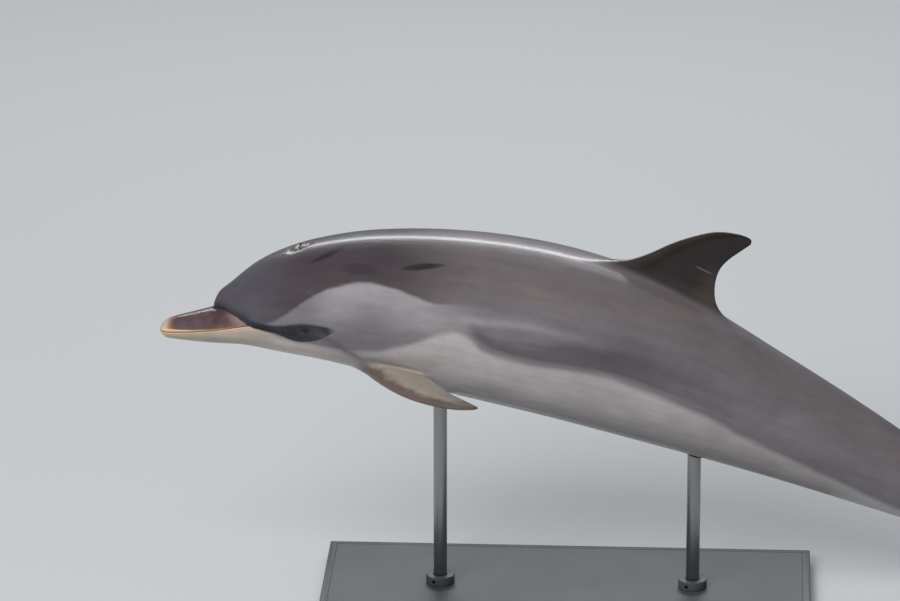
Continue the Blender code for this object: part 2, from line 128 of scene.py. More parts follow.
def bodyReaches(x, turn):
    # how far head and beak reach from the axis, turned from the right side up
    across, up = np.cos(turn), np.sin(turn)
    centre = body["widest"](x)
    power = body["roundness"](x)
    headHeight = np.maximum(np.where(up > 0, body["back"](x) - centre, centre - body["belly"](x)), 0.001)
    head = (np.abs(across / body["breadth"](x)) ** power + np.abs(up / headHeight) ** power) ** (-1 / power)
    beakHeight = np.where(up > 0, body["beakTop"](x) - centre, centre - body["beakBottom"](x))
    beak = ((across / body["beakBreadth"](x)) ** 2 + (up / beakHeight) ** 2) ** -0.5
    return head * (x > body["headFront"]), beak * (x < body["beakRoot"])


def bodyPoint(x, turn):
    x, turn = np.broadcast_arrays(np.asarray(x, float), np.asarray(turn, float))
    head, beak = bodyReaches(x, turn)
    front = np.clip(x / body["snoutRound"], 0, 1)
    rear = np.clip((body["length"] - x) / body["tailRound"], 0, 1)
    cap = np.sqrt(1 - (1 - front) ** 2) * np.sqrt(1 - (1 - rear) ** 2)
    reach = smoothMax(head, beak, body["creaseRound"]) * cap
    return np.stack([x, reach * np.cos(turn), body["widest"](x) + reach * np.sin(turn)], -1)


# The arched pose

posture = dict(
    snout=Vector((-0.96, 0, 0.66)),
    # degrees that the spine falls towards the tail
    fall=spline((0, -7.5), (0.35, -6.5), (0.5, -2), (0.75, 7), (1, 16.5), (1.2, 22.5), (1.45, 25.5),
        (1.7, 26.5), (2, 25.5), (2.3, 21)),
    steps=481,
)
spineX = np.linspace(0, body["length"], posture["steps"])
spineAngle = np.radians(posture["fall"](spineX))


def runningSum(values):
    middle = (values[1:] + values[:-1]) / 2
    return np.concatenate([[0], np.cumsum(middle * np.diff(spineX))])


spineAlong = runningSum(np.cos(spineAngle))
spineDrop = runningSum(np.sin(spineAngle))


def pose(points):
    points = np.asarray(points, float)
    inside = np.clip(points[..., 0], 0, body["length"])
    past = points[..., 0] - inside
    angle = np.interp(inside, spineX, spineAngle)
    along = np.interp(inside, spineX, spineAlong) + past * np.cos(angle) + points[..., 2] * np.sin(angle)
    drop = np.interp(inside, spineX, spineDrop) + past * np.sin(angle) - points[..., 2] * np.cos(angle)
    return np.stack([posture["snout"].x + along, points[..., 1], posture["snout"].z - drop], -1)


def unit(way):
    way = np.array(way, float)
    return way / np.linalg.norm(way)


# Fins: each edge as (share, chord, span), the lengths in millimetres, from root 0 to tip 1

def edgeCurve(*points):
    share, *ways = zip(*points)
    curves = [spline(*zip(share, np.array(way) / 1000)) for way in ways]
    return lambda share: np.array([curve(share) for curve in curves])


def makeFin(patchX, patchTurn, front, rear, spanWay, lead, trail, thickness, fairing):
    chordWay = unit(np.array(rear) - front)
    spanWay = unit(spanWay - chordWay * (chordWay @ spanWay))
    return dict(patchX=patchX, patchTurn=patchTurn, root=np.array(front, float), chordWay=chordWay,
                spanWay=spanWay, thickWay=np.cross(chordWay, spanWay), lead=lead, trail=trail,
                thickness=thickness, fairing=fairing)


def dorsalFin():
    front, rear = 0.985, 1.27
    return makeFin(
        (0.945, 1.315), (80, 100), (front, 0, body["back"](front)), (rear, 0, body["back"](rear)),
        np.array([0, 0, 1.0]),
        edgeCurve((0, 30, 0), (0.25, 82, 50), (0.5, 118, 100), (0.75, 162, 152), (0.92, 214, 190),
            (1, 254, 203)),
        edgeCurve((0, 286, 0), (0.25, 252, 46), (0.5, 237, 100), (0.75, 249, 148), (0.92, 262, 179),
            (1, 268, 194)),
        spline((0, 0.036), (0.5, 0.023), (0.9, 0.009), (1, 0.003)), 0.16)


def flipper(side):
    # side is 1 for the right flipper and -1 for the left one
    flip = np.array([1, side, 1])
    front = bodyPoint(0.478, radians(-53)) * flip
    rear = bodyPoint(0.634, radians(-34.5)) * flip
    droop = radians(6)
    return makeFin(
        (0.448, 0.672), (-60, -30) if side > 0 else (210, 240), front, rear,
        np.array([0, side * cos(droop), -sin(droop)]),
        edgeCurve((0, 0, 0), (0.25, 60, 50), (0.5, 148, 105), (0.75, 250, 135), (0.93, 336, 128),
            (1, 366, 112)),
        edgeCurve((0, 160, 0), (0.25, 200, 18), (0.5, 238, 47), (0.75, 291, 74), (0.93, 346, 95),
            (1, 370, 104)),
        spline((0, 0.036), (0.4, 0.024), (0.9, 0.01), (1, 0.004)), 0.14)


def fluke(side):
    front, halfStock = 2.085, 0.024 * side
    return makeFin(
        (2.062, 2.278), (-30, 30) if side > 0 else (150, 210), (front, halfStock, 0),
        (front + 0.2, halfStock, 0), np.array([0, float(side), 0]),
        edgeCurve((0, 12, 0), (0.25, 48, 67), (0.5, 102, 134), (0.75, 172, 201), (0.92, 228, 248),
            (1, 258, 268)),
        edgeCurve((0, 212, 0), (0.15, 231, 35), (0.35, 234, 85), (0.6, 237, 150), (0.85, 251, 220),
            (1, 268, 266)),
        spline((0, 0.03), (0.4, 0.019), (0.9, 0.008), (1, 0.003)), 0.11)


# The skin's grid: rings along the body and columns round it

skinGrid = dict(
    columns=176,
    sideDense=3.4,  # how much denser the columns get beside the mouth
    sideWidth=radians(9),
    sideMiddle=radians(-1.5),
    bendWidth=0.35,  # how far round they follow its line
    bendFrom=(0, 0.02),  # where they start to follow it
    bendTo=(0.37, 0.31),
    spacing=mm((0, 0.7), (6, 1.4), (20, 2.2), (100, 2.5), (300, 2.6), (420, 2.8), (500, 5.5), (600, 9.5),
        (800, 13), (1500, 13), (1950, 11), (2060, 5.5), (2270, 4.2), (2295, 1.8), (2300, 0.8)),
    finLevels=36,
    fairingLevels=9,
    finEdge=0.0012,
    tipRound=0.75,  # radius of a fin's tip, as a share of its last chord
    tipLeft=0.15,  # share of the outline left at the very tip
    rootLevels=4,  # fin levels that are smoothed into the body
    rootReach=3,  # rings of skin round them that are smoothed too
    smoothing=14,
    tuckFrom=2.258,
    tucked=0.62,  # share of the length past there that goes
)


def columnTurns():
    half = np.linspace(-pi / 2, pi / 2, 4001)
    density = 1 + skinGrid["sideDense"] * bump(half - skinGrid["sideMiddle"], skinGrid["sideWidth"])
    reached = np.concatenate([[0], np.cumsum((density[1:] + density[:-1]) / 2)])
    right = np.interp(np.linspace(0, reached[-1], skinGrid["columns"] // 2 + 1), reached, half)
    return np.concatenate([right, pi - right[::-1][1:-1]])


def followMouth(x, turn):
    # bends the columns, so that the mouth's groove runs down one of them
    onLeft = turn > pi / 2
    aside = np.where(onLeft, pi - turn, turn)
    middle = columnTurns()
    middle = middle[np.argmin(abs(middle - skinGrid["sideMiddle"]))]
    half = np.maximum(bodyPoint(x, 0)[..., 1], 0.001)
    line = np.arcsin(np.clip((body["mouthLine"](x) - body["widest"](x)) / half, -0.2, 0.2))
    along = fade(x, *skinGrid["bendTo"]) * fade(x, *skinGrid["bendFrom"])
    shift = (line - middle) * bump(aside - middle, skinGrid["bendWidth"]) * along
    return turn + np.where(onLeft, -shift, shift)


def ringPlaces():
    places = [0]
    while places[-1] < body["length"]:
        places.append(places[-1] + float(skinGrid["spacing"](places[-1])))
    return np.array(places) * body["length"] / places[-1]


def activate(piece):
    bpy.ops.object.select_all(action="DESELECT")
    piece.select_set(True)
    bpy.context.view_layer.objects.active = piece


def startPiece(shape, **settings):
    # adds one primitive, placed and sized, as the only selected object
    bpy.ops.object.select_all(action="DESELECT")
    getattr(bpy.ops.mesh, "primitive_" + shape + "_add")(**settings)
    bpy.ops.object.transform_apply()
    return bpy.context.object


def finishPiece(piece, name, node, material):
    piece.name = name
    activate(piece)
    with editing("VERT", "SELECT"):
        bpy.ops.mesh.normals_make_consistent(inside=False)
    bpy.ops.object.shade_smooth_by_angle(angle=radians(35))
    piece.data.materials.append(material)
    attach(piece, "root")
    if node:
        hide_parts(node)


@contextmanager
def editing(kind, action=None):
    # edit mode on the active piece, with all or nothing of it selected by an action
    bpy.ops.object.mode_set(mode="EDIT")
    bpy.ops.mesh.select_mode(type=kind)
    if action:
        bpy.ops.mesh.select_all(action=action)
    yield
    bpy.ops.object.mode_set(mode="OBJECT")


def attribute(mesh, name, values):
    socket, kind = "value", "INT" if values.dtype == np.int32 else "FLOAT"
    if values.ndim > 1:
        socket, kind = "vector", "FLOAT_VECTOR"
    if kind != "INT":
        values = values.astype(np.float32)
    mesh.attributes.new(name, kind, "POINT").data.foreach_set(socket, values.ravel())


def read(mesh, name, kind=float):
    values = np.empty(len(mesh.vertices), kind)
    mesh.attributes[name].data.foreach_get("value", values)
    return values


def vertexPlaces(mesh):
    places = np.empty(len(mesh.vertices) * 3, np.float32)
    mesh.vertices.foreach_get("co", places)
    return places.reshape(-1, 3).astype(float)


def setPlaces(mesh, points):
    mesh.vertices.foreach_set("co", points.astype(np.float32).ravel())
    mesh.update()


def chooseFaces(mesh, chosen):
    # selects the faces whose corners are all chosen
    for parts in (mesh.vertices, mesh.edges):
        parts.foreach_set("select", np.zeros(len(parts), bool))
    corners = np.empty(len(mesh.loops), np.int32)
    mesh.loops.foreach_get("vertex_index", corners)
    starts = np.empty(len(mesh.polygons), np.int32)
    mesh.polygons.foreach_get("loop_start", starts)
    mesh.polygons.foreach_set("select", np.logical_and.reduceat(chosen[corners], starts))


def finOutline(fin, share, turn):
    along = (1 - np.cos(turn)) / 2
    lead, trail = fin["lead"](share), fin["trail"](share)
    chord, span = lead[:, None] + (trail - lead)[:, None] * along
    leaf = 1.4845 * np.sqrt(along) + along * (-0.63 + along * (-1.758 + along * (1.4215 - 0.518 * along)))
    half = fin["thickness"](share) * leaf + skinGrid["finEdge"] * np.abs(np.sin(turn)) ** 0.5
    ways = np.stack([fin["chordWay"], fin["spanWay"], fin["thickWay"]])
    return fin["root"] + np.stack([chord, span, np.copysign(half, np.sin(turn))], -1) @ ways


def finPoints(fin, level, turn, base):
    # the lowest levels curve out of the body
    fairing, levels = skinGrid["fairingLevels"], skinGrid["finLevels"]
    if level < fairing:
        share = level / fairing
        corner, top = finOutline(fin, 0, turn), finOutline(fin, fin["fairing"], turn)
        return (1 - share) ** 2 * base + 2 * share * (1 - share) * corner + share**2 * top
    reached = (level - fairing) / (levels - fairing)
    # closest together at both ends, and above all at the tip
    reached = (sin(reached * pi / 2) + (1 - cos(reached * pi)) / 2) / 2
    points = finOutline(fin, fin["fairing"] + (1 - fin["fairing"]) * reached, turn)
    middle, tip = points.mean(0), finOutline(fin, 1, turn)
    radius = skinGrid["tipRound"] * np.linalg.norm(fin["trail"](1) - fin["lead"](1))
    short = min(np.linalg.norm(middle - tip.mean(0)) / radius, 1)
    return middle + (points - middle) * max(sqrt(1 - (1 - short) ** 2), skinGrid["tipLeft"])


def patchTurn(ring, column, rings, width):
    # how far round the patch's edge each point lies, from the middle of its front
    steps = np.select(
        [column == width, ring == rings, column == 0],
        [width / 2 + ring, width * 1.5 + rings - column, width * 1.5 + rings * 2 - ring], column - width / 2)
    return steps / (2 * (rings + width)) % 1 * tau


def growFin(skin, fin, places, turns):
    ring, column = read(skin.data, "ring", np.int32), read(skin.data, "column", np.int32)
    first, last = (int(np.argmin(abs(places - x))) for x in fin["patchX"])
    low, high = (int(np.argmin(abs(np.degrees(turns) - turn))) for turn in fin["patchTurn"])
    chooseFaces(skin.data, (ring >= first) & (ring <= last) & (column >= low) & (column <= high))
    activate(skin)
    with editing("FACE"):
        bpy.ops.mesh.separate(type="SELECTED")
    patch = next(piece for piece in bpy.context.selected_objects if piece is not skin)
    activate(patch)
    with editing("EDGE", "SELECT"):
        bpy.ops.mesh.region_to_loop()
        bpy.ops.mesh.select_all(action="INVERT")
        bpy.ops.mesh.delete(type="EDGE")
        bpy.ops.mesh.select_all(action="SELECT")
        for level in range(1, skinGrid["finLevels"] + 1):
            bpy.ops.mesh.extrude_region()
            mesh = bmesh.from_edit_mesh(patch.data)
            layers = mesh.verts.layers
            rim = [vert for vert in mesh.verts if vert.select]
            at = [[vert[layers.int[name]] for vert in rim] for name in ("ring", "column")]
            ringAt, columnAt = np.array(at)
            turn = patchTurn(ringAt - first, columnAt - low, last - first, high - low)
            points = finPoints(fin, level, turn, bodyPoint(places[ringAt], turns[columnAt]))
            rooted, reached = min(level / skinGrid["fairingLevels"], 1), level / skinGrid["finLevels"]
            for vert, point, behind in zip(rim, points, (1 - np.cos(turn)) / 2):
                vert.co = point
                vert[layers.int["level"]] = level
                vert[layers.float_vector["fin"]] = (rooted, behind, reached)
        bpy.ops.mesh.edge_face_add()
    activate(skin)
    patch.select_set(True)
    bpy.ops.object.join()


def tuckTail(skin):
    # draws the body's end in, so that a notch parts the flukes
    points = vertexPlaces(skin.data)
    past = np.maximum(points[:, 0] - skinGrid["tuckFrom"], 0)
    points[:, 0] -= past * skinGrid["tucked"] * (read(skin.data, "level", np.int32) == 0)
    setPlaces(skin.data, points)


def smoothRoots(skin):
    # eases the places where the fins leave the body
    level = read(skin.data, "level", np.int32)
    with editing("VERT", "DESELECT"):
        mesh = bmesh.from_edit_mesh(skin.data)
        mesh.verts.ensure_lookup_table()
        for i in np.nonzero((level > 0) & (level <= skinGrid["rootLevels"]))[0]:
            mesh.verts[i].select = True
        mesh.select_flush(True)
        for _ in range(skinGrid["rootReach"]):
            bpy.ops.mesh.select_more()
        bpy.ops.mesh.vertices_smooth(factor=0.5, repeat=skinGrid["smoothing"])


# Eyes, in the straight body: where each ball sits and which way it looks

eyes = dict(
    x=0.355,
    turn=radians(-4.5),
    radius=0.016,
    sink=0.0125,
    lid=0.0011,  # thickness of a lid over the ball
    halfLength=0.0125,
    upper=0.006,
    lower=0.0048,
    tilt=radians(-7),
    inner=0.0028,  # depth of the skin inside the opening behind the ball's surface
    # each fold of the lids: above or below, distance from the rim, depth, width, and where it fades in
    folds=((1, 0.0052, 0.0009, 0.0013, 0, 0.004), (1, 0.0092, 0.0006, 0.0018, 0.001, 0.006),
        (-1, 0.0046, 0.0007, 0.0012, 0, 0.004), (-1, 0.0085, 0.0004, 0.0016, 0.001, 0.006)),
)


def eyeFrame(side):
    # the ball's centre, and the ways forward, up and out of the skin
    turn = eyes["turn"] if side > 0 else pi - eyes["turn"]

    def at(along, turned):
        return bodyPoint(eyes["x"] + along, turn + turned)

    centre = at(0, 0) + unit(at(0, pi) - at(0, 0)) * eyes["sink"]
    back = unit(at(0.004, 0) - at(-0.004, 0))
    rise = (at(0, 0.02) - at(0, -0.02)) * side
    up = unit(rise - back * (back @ rise))
    level, lean = cos(eyes["tilt"]), sin(eyes["tilt"])
    return centre, up * lean - back * level, up * level + back * lean, np.cross(up, back) * side


def rimDistance(u, v):
    # distance outside the rim of the eye's opening, below 0 inside it
    half = np.where(v > 0, eyes["upper"], eyes["lower"])
    e = np.abs(u / eyes["halfLength"]) ** 1.8 + (v / half) ** 2
    return np.hypot(u, v) * (1 - 1 / np.sqrt(np.maximum(e, 1e-6)))


def lids(points, side):
    # how far each skin point moves to close round the ball
    centre, forward, up, out = eyeFrame(side)
    u, v, height = (points - centre) @ forward, (points - centre) @ up, (points - centre) @ out
    r = np.hypot(u, v)
    past = rimDistance(u, v)
    ball = np.sqrt(np.maximum(eyes["radius"] ** 2 - r**2, 0))
    over = np.sqrt(np.maximum((eyes["radius"] + eyes["lid"]) ** 2 - r**2, 0))
    lid = smoothMax(height, over, 0.004) + 0.0005 * bump(past - 0.0012, 0.0012)
    for way, away, depth, width, start, end in eyes["folds"]:
        lid = lid - depth * bump(past - away, width) * fade(v * way, start, end)
    lid = lid - 0.001 * bump(v, 0.001) * fade(np.abs(u), 0.011, 0.0135) * fade(np.abs(u), 0.026, 0.014)
    opened = fade(past, 0.0005, -0.0006)
    moved = lid * (1 - opened) + (ball - eyes["inner"]) * opened - height
    return np.where((r < 0.05) & (height > 0), moved, 0)[:, None] * out


# Small forms of the skin, as heights over the plain surface, in metres

forms = dict(
    grooveDepth=0.0026, grooveWidth=0.0009, lipHeight=0.0009, lipAway=0.0034, lipWidth=0.0026,
    mouthEnd=0.297,
    crease=0.0022, creaseWidth=0.006,
    blowhole=0.3515, blowDepth=0.0052, blowWidth=0.0014, blowHalf=0.0205, blowCurve=15,
    ear=(0.413, -0.01), earDepth=0.0022, earWidth=0.0016,
    navel=1.04, slit=(1.4, 1.5), vent=1.585,
    folds=((0.397, 0.0004), (0.44, 0.0003)),  # place and depth of each fold of the neck
)


def mouthForm(x, away):
    ends = fade(x, forms["mouthEnd"] + 0.002, forms["mouthEnd"] - 0.01)
    groove = -forms["grooveDepth"] * bump(away, forms["grooveWidth"])
    upper = forms["lipHeight"] * bump(away - forms["lipAway"], forms["lipWidth"])
    lower = 1.2 * forms["lipHeight"] * bump(away + forms["lipAway"], forms["lipWidth"])
    corner = bump(np.hypot(x - forms["mouthEnd"] - 0.004, away * 0.5) - 0.006, 0.0022)
    corner = -0.001 * corner * fade(x, 0.295, 0.302) * (np.abs(away) < 0.02)
    return (groove + upper + lower) * ends + corner


def creaseForm(x, z, away):
    # the furrow between the forehead and the beak
    inside = (x > 0.105) & (x < 0.26)
    return -forms["crease"] * bump(away, forms["creaseWidth"]) * inside * fade(z, -0.002, 0.01)


def blowholeForm(x, y, z):
    ahead = x - (forms["blowhole"] + 0.004 - forms["blowCurve"] * y * y)
    sides = fade(np.abs(y), forms["blowHalf"], forms["blowHalf"] - 0.006)
    slit = -forms["blowDepth"] * bump(ahead, forms["blowWidth"]) * sides
    plug = 0.0016 * bump(ahead + 0.008, 0.0075) * bump(y, 0.015)
    rim = 0.0012 * bump(ahead - 0.0045, 0.0045) * bump(y, 0.019)
    ring = -0.0012 * bump(np.hypot(ahead / 1.1, y / 1.25) - 0.021, 0.0045)
    return (slit + plug + rim + ring) * (z > 0.08)


def smallForms(x, y, z):
    side = np.abs(y)
    ear = -forms["earDepth"] * bump(np.hypot(x - forms["ear"][0], z - forms["ear"][1]), forms["earWidth"])
    start, end = forms["slit"]
    slit = -0.0042 * bump(y, 0.0026) + 0.0022 * bump(side - 0.008, 0.005)
    slit = slit * fade(x, start, start + 0.02) * fade(x, end, end - 0.02)
    vent = (-0.004 * bump(y, 0.0028) + 0.0012 * bump(side - 0.007, 0.004)) * bump(x - forms["vent"], 0.008)
    navel = -0.002 * bump(y, 0.0045) * bump(x - forms["navel"], 0.014)
    # faint folds where neck and flippers work, and the soft hollow behind the head
    fold = 0
    for place, depth in forms["folds"]:
        curve = place + 0.1 * (z + 0.02) + 0.9 * (z + 0.02) ** 2
        fold = fold - depth * bump(x - curve, 0.0075) * fade(z, 0.06, -0.06) * fade(z, -0.16, -0.04)
    hollow = -0.0035 * bump(x - 0.425, 0.045) * bump(z - 0.1, 0.06)
    cheek = 0.0025 * bump(x - 0.325, 0.032) * bump(z + 0.045, 0.026)
    return ear * (side > 0.08) + (slit + vent + navel) * (z < -0.08) + fold + hollow + cheek


def features(points):
    # distances over the mouth, past the crease and outside the lids, for forms and paint
    x, y, z = points.T
    far = 0.1
    mouth = np.where(x < 0.34, z - body["mouthLine"](x), far)
    head, beak = bodyReaches(np.clip(x, 0.101, 0.299), np.arctan2(z - body["widest"](x), y))
    crease = np.where(x > body["headFront"], np.clip(head - beak, -far, far), -far)
    lid = np.full(len(x), far)
    for side in (1, -1):
        centre, forward, up, _ = eyeFrame(side)
        past = rimDistance((points - centre) @ forward, (points - centre) @ up)
        lid = np.where(side * y > 0, np.minimum(lid, past), lid)
    return np.stack([mouth, crease, lid], -1)


def buildSkin():
    places, turns, columns = ringPlaces(), columnTurns(), skinGrid["columns"]
    skin = startPiece("uv_sphere", segments=columns, ring_count=len(places) - 1, radius=1)
    skin.name = "skin"
    mesh = skin.data
    x, y, z = vertexPlaces(mesh).T
    ring = np.round(np.arctan2(np.hypot(x, y), -z) / pi * (len(places) - 1)).astype(np.int32)
    column = np.round(np.arctan2(y, x) / tau * columns).astype(np.int32) % columns
    turned = followMouth(places[ring], turns[column])
    for name, values in (("ring", ring), ("column", column), ("level", ring * 0), ("along", places[ring]),
                         ("turn", turned), ("fin", np.zeros((len(ring), 3)))):
        attribute(mesh, name, values)
    setPlaces(mesh, bodyPoint(places[ring], turned))
    for reach, middle, cuts in refineSpots():
        chooseFaces(mesh, (np.abs(vertexPlaces(mesh) - middle) < reach).all(1))
        with editing("FACE"):
            bpy.ops.mesh.subdivide(number_cuts=cuts)
        setPlaces(mesh, bodyPoint(read(mesh, "along"), read(mesh, "turn")))
    print("skin: grid placed,", len(mesh.vertices), "points")
    for fin in (dorsalFin(), flipper(1), flipper(-1), fluke(1), fluke(-1)):
        growFin(skin, fin, places, turns)
    with editing("VERT", "SELECT"):
        bpy.ops.mesh.remove_doubles(threshold=0.00001)
        bpy.ops.mesh.normals_make_consistent(inside=False)
    tuckTail(skin)
    smoothRoots(skin)
    print("skin: fins grown,", len(mesh.vertices), "points")
    straight = vertexPlaces(mesh)
    x, y, z = straight.T
    distances = features(straight)
    height = mouthForm(x, distances[:, 0]) + creaseForm(x, z, distances[:, 1])
    height = height + blowholeForm(x, y, z) + smallForms(x, y, z)
    onBody = read(mesh, "level", np.int32) == 0
    normals = np.empty(len(mesh.vertices) * 3, np.float32)
    mesh.vertex_normals.foreach_get("vector", normals)
    moved = straight + normals.reshape(-1, 3) * (height * onBody)[:, None]
    attribute(mesh, "straight", straight)
    attribute(mesh, "features", distances)
    setPlaces(mesh, pose(moved + lids(straight, 1) + lids(straight, -1)))
    for name in ("ring", "column", "along", "turn"):
        mesh.attributes.remove(mesh.attributes[name])
    mesh.shade_smooth()
    return skin


def refineSpots():
    # (reach, middle, cuts) of the boxes that get a finer grid
    slitMiddle = (forms["slit"][0] + forms["vent"]) / 2
    return (
        ((0.03, 0.03, 0.024), eyeFrame(1)[0], 2), ((0.03, 0.03, 0.024), eyeFrame(-1)[0], 2),
        ((0.034, 0.034, 0.03), bodyPoint(forms["blowhole"], pi / 2), 2),
        ((0.125, 0.022, 0.03), bodyPoint(slitMiddle, -pi / 2), 3),
        ((0.03, 0.02, 0.03), bodyPoint(forms["navel"], -pi / 2), 3))


skin = buildSkin()
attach(skin, "root")
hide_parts("beak_upper", "jaw_lower", "head", "neck", "trunk_front", "trunk_rear", "tail_stock",
            "dorsal_fin", "flipper_left", "flipper_right", "fluke_left", "fluke_right")
print("skin: finished with", sum(len(face.vertices) - 2 for face in skin.data.polygons), "triangles")


# Materials

def operators(operation):
    # with the wire first, and with it second
    return (lambda self, other: self.maths(operation, self, other),
            lambda self, other: self.maths(operation, other, self))


class Wire:
    # one socket of a material
    def __init__(self, tree, socket=None):
        self.tree = tree
        self.socket = socket

    def node(self, kind, settings, inputs, output=0):
        made = self.tree.nodes.new("ShaderNode" + kind)
        for name, value in settings.items():
            setattr(made, name, value)
        for name, value in inputs.items():
            if isinstance(value, Wire):
                self.tree.links.new(value.socket, made.inputs[name])
            else:
                made.inputs[name].default_value = value
        return Wire(self.tree, made.outputs[output])

    def maths(self, operation, *values):
        return self.node("Math", {"operation": operation}, dict(enumerate(values)))

    __add__, __radd__ = operators("ADD")
    __sub__, __rsub__ = operators("SUBTRACT")
    __mul__, __rmul__ = operators("MULTIPLY")
    __truediv__, __rtruediv__ = operators("DIVIDE")

    def size(self):
        return self.maths("ABSOLUTE", self)

    def least(self, other):
        return self.maths("MINIMUM", self, other)

    def split(self):
        return [self.node("SeparateXYZ", {}, {0: self}, i) for i in range(3)]

    def fade(self, low, high):
        # as the function of that name
        if low > high:
            return 1 - self.fade(high, low)
        eased = {"interpolation_type": "SMOOTHSTEP"}
        return self.node("MapRange", eased, {"Value": self, "From Min": low, "From Max": high})

    def within(self, start, full, rest, end):
        # 1 from full to rest, easing out to 0 at start and end
        return self.fade(start, full) * self.fade(end, rest)

    def near(self, middle, width):
        # 1 at a value, falling off softly round it
        away = (self - middle) / width
        square = 1 / (1 + away * away)
        return square * square

    def curve(self, length, low, high, points):
        # a value that follows (place, value) points, in millimetres, along this one
        made = self.node("ValToRGB", {}, {0: self / length})
        ramp = made.socket.node.color_ramp
        ramp.interpolation = "CARDINAL"
        ramp.elements.remove(ramp.elements[1])
        for i, (place, value) in enumerate(np.array(points) / 1000):
            stop = ramp.elements.new(place / length) if i else ramp.elements[0]
            stop.position = place / length
            stop.color = [(value - low) / (high - low)] * 3 + [1]
        return made * (high - low) + low

    def mix(self, under, over):
        # over where this mask is 1, under where it is 0
        under, over = tints.get(under, under), tints.get(over, over)
        return self.node("Mix", {"data_type": "RGBA"}, {0: self, 6: under, 7: over}, 2)

    def noise(self, scale, detail=3, rough=0.5, stretch=(1, 1, 1)):
        # a pattern on this vector, from about -0.5 to 0.5
        placed = self.node("Mapping", {}, {"Vector": self, "Scale": stretch})
        shape = {"Scale": scale, "Detail": detail, "Roughness": rough}
        return self.node("TexNoise", {}, {"Vector": placed, **shape}) - 0.5

    def bumped(self, distance, strength):
        return self.node("Bump", {}, {"Height": self, "Distance": distance, "Strength": strength})


def shown(red, green, blue):
    # a colour as a screen shows it
    return tuple(((value / 255 + 0.055) / 1.055) ** 2.4 for value in (red, green, blue)) + (1,)


def newMaterial(name, uniform, varying):
    # uniform values for the whole surface, and wires for those that vary
    made = bpy.data.materials.new(name)
    made.use_nodes = True
    surface = made.node_tree.nodes["Principled BSDF"]
    for socket, value in uniform.items():
        surface.inputs[socket].default_value = value
    for socket, wire in varying(Wire(made.node_tree)).items():
        made.node_tree.links.new(wire.socket, surface.inputs[socket])
    return made


skinPaint = dict(
    tints=dict(
        cape=(59, 52, 56), capeRear=(97, 91, 94), melon=(69, 66, 74), flank=(102, 99, 104),
        blaze=(133, 130, 134), streak=(76, 72, 77), belly=(152, 148, 149), throat=(168, 158, 154),
        beak=(64, 47, 48), beakRear=(132, 114, 106), beakDusk=(104, 88, 92), lip=(178, 158, 130),
        # the near-black tint and its mottled twin: the eye's own dark patch, painted darker with shade, and
        # painted shade in the crease, the mouth's rear, the blowhole's slit and the ear's pit
        tip=(172, 155, 128), blush=(130, 90, 70), jaw=(156, 146, 136), stripeAndShade=(13, 12, 15),
        # the mouth's tint is painted shade for the groove between the lips
        stripeAndShadeMottle=(38, 38, 47), mouth=(52, 26, 20), fin=(27, 23, 21), finRoot=(48, 43, 42),
        finWorn=(74, 62, 56), flipper=(137, 129, 121), flipperEdge=(72, 59, 53),
        blowhole=(122, 95, 91), smudge=(32, 30, 34), flukeUnder=(100, 96, 100), scar=(132, 128, 130),
        # the tan tint paints reflections of sunlight on the back
        glintTan=(134, 110, 94),
    ),
    capeEdge=((100, 20), (200, 4), (260, 10), (310, 36), (350, 64), (400, 91), (450, 106), (515, 110),
        (575, 99), (630, 83), (700, 78), (800, 88), (920, 104), (1100, 104), (1250, 88), (1450, 66),
        (1650, 45), (1850, 20), (2050, -4), (2300, -20)),
    bellyEdge=((100, -4), (240, -8), (300, -22), (360, -34), (450, -52), (550, -40), (640, -5), (700, 20),
        (735, 14), (765, -8), (800, -21), (870, -26), (950, -23), (1030, -14), (1120, -9), (1250, -14),
        (1400, -30), (1600, -48), (1800, -60), (2000, -55), (2300, -50)),
    darkLine=((600, 60), (700, 42), (750, 22), (785, 3), (820, -5), (880, -8), (940, -5), (1030, 4),
        (1150, 10), (1400, 0), (1800, -20)),
    upperLip=((0, 8.5), (40, 7), (80, 5), (130, 3.4), (180, 2.2), (300, 1.5)),
    bandTop=((170, 52), (194, 34), (208, 25), (222, 18), (250, 13), (300, 12), (340, 16), (380, 14),
        (425, 4), (500, -10)),
    bandFoot=((170, 38), (194, 21), (208, 11), (222, 1), (250, -6), (280, -11), (300, -18), (330, -29),
        (370, -29), (400, -19), (425, -6), (500, -20)),
    # place along and up, half length, half height, lean and strength of each dark smudge
    smudges=((0.42, 0.161, 0.046, 0.006, -0.34, 0.85), (0.622, 0.147, 0.054, 0.0065, -0.13, 0.95),
        (0.49, 0.136, 0.045, 0.015, 0.1, 0.4)),
    # side, place along and up, length, lean and number of lines of each rake mark
    rakes=((-1, 1.52, 0.045, 0.11, 0.5, 4), (-1, 1.74, -0.01, 0.08, -0.7, 3), (-1, 0.6, 0.02, 0.06, 0.9, 3),
        (1, 0.7, 0.07, 0.12, 0.35, 4), (1, 1.3, 0.03, 0.09, -0.5, 5), (1, 1.66, 0.02, 0.1, 0.8, 3)),
    # place along and up, half length and lean of each tan patch of painted reflected sunlight
    sunGlints=((0.895, 0.118, 0.09, 0.22), (1.195, 0.168, 0.07, 0.1)),
    rakeGap=0.0055,
)
tints = {name: shown(*tint) for name, tint in skinPaint["tints"].items()}


# The coat grows by layers, each a mask and the tint that it lays over what is there

